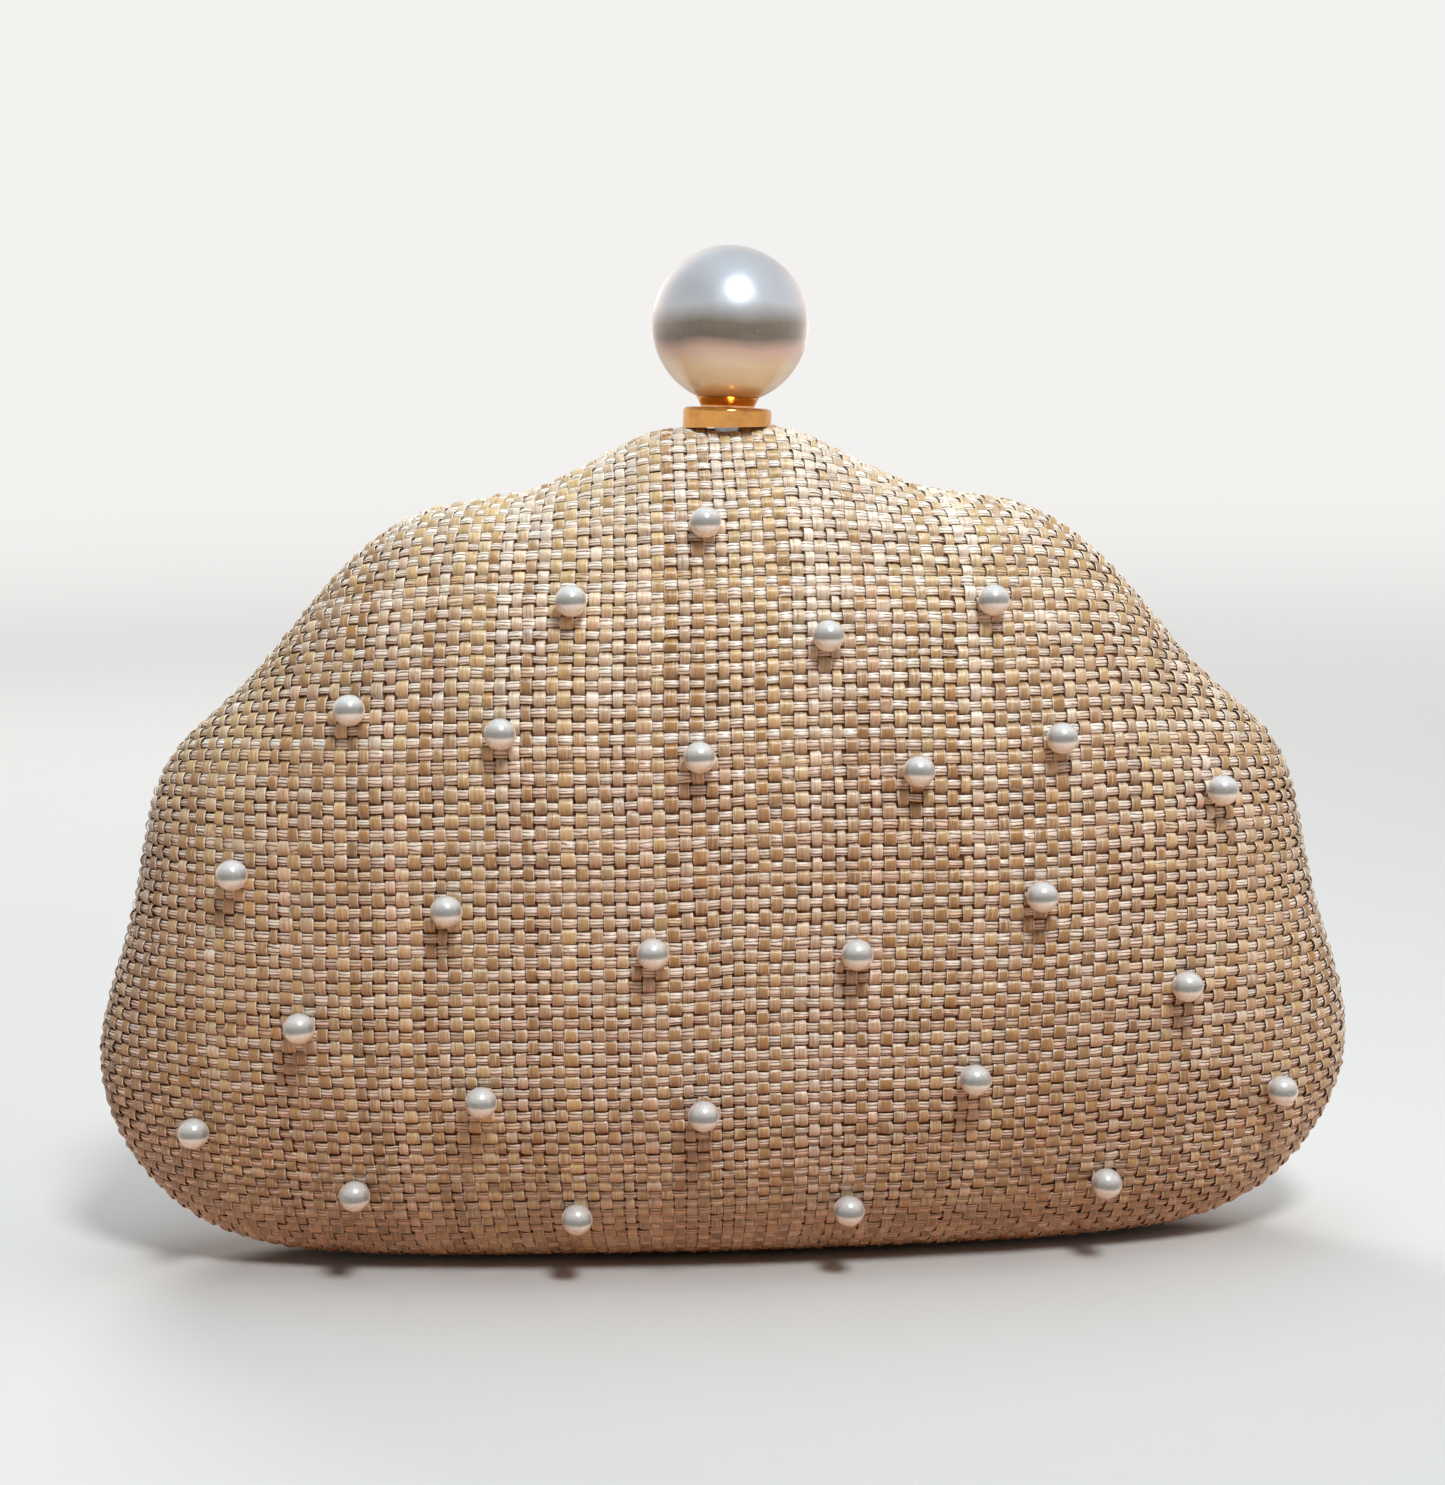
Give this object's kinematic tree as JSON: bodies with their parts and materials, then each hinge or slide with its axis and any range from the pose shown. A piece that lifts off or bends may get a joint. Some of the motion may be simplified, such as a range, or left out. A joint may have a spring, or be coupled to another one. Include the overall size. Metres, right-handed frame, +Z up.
{
  "type": "evening bag",
  "caption": "Hard-case evening clutch with a scalloped outline, woven straw cover, pearl beads on the front, a base hinge and a rocking pearl knob clasp",
  "frame": {"origin": "bottom centre of the whole bag's bounding box, pearls included, on the plane that it stands on", "axes": "+X to the right as seen from the front, +Y to the rear, +Z up; the hinge axis runs along X"},
  "size_m": [0.236, 0.0697, 0.187],
  "materials": {
    "woven_straw": "plain-woven flat straw strips, satin",
    "moulded_shell": "matte moulded",
    "satin_lining": "satin over thin padding",
    "gilt_metal": "polished gilt",
    "clasp_steel": "brushed",
    "pearl": "nacre lustre"
  },
  "bodies": {
    "rear_half": {"rear_cover": "woven_straw", "rear_shell": "moulded_shell", "rear_frame": "gilt_metal", "rear_lining": "satin_lining", "slip_pocket": "satin_lining", "rear_hinge_leaf": "gilt_metal", "rear_hinge_rivets": "gilt_metal", "hinge_pin": "gilt_metal", "catch_spring": "clasp_steel", "catch_rivets": "gilt_metal"},
    "front_half": {"front_cover": "woven_straw", "front_shell": "moulded_shell", "front_frame": "gilt_metal", "front_lining": "satin_lining", "front_hinge_leaf": "gilt_metal", "front_hinge_rivets": "gilt_metal", "front_pearls": "pearl", "pearl_pins": "clasp_steel", "clasp_bracket": "clasp_steel", "clasp_bracket_rivets": "clasp_steel", "clasp_pivot_pin": "clasp_steel", "clasp_spring": "clasp_steel"},
    "clasp": {"clasp_lever": "gilt_metal", "clasp_collar": "gilt_metal", "pearl_cup": "gilt_metal", "pearl_stud": "clasp_steel", "clasp_pearl": "pearl"}
  },
  "joints": [
    {"name": "case_hinge", "type": "hinge", "parent": "rear_half", "child": "front_half", "pos_m": [0, 0.00285, 0.0021], "axis": [1, 0, 0], "range_deg": [0, 100], "deforming": ["catch_spring"]},
    {"name": "clasp_rock", "type": "hinge", "parent": "front_half", "child": "clasp", "pos_m": [0.0006, -0.00015, 0.1434], "axis": [1, 0, 0], "range_deg": [0, 12], "stiffness_Nm_per_rad": 0.15, "springref_deg": -11.46, "deforming": ["clasp_spring"]}
  ]
}
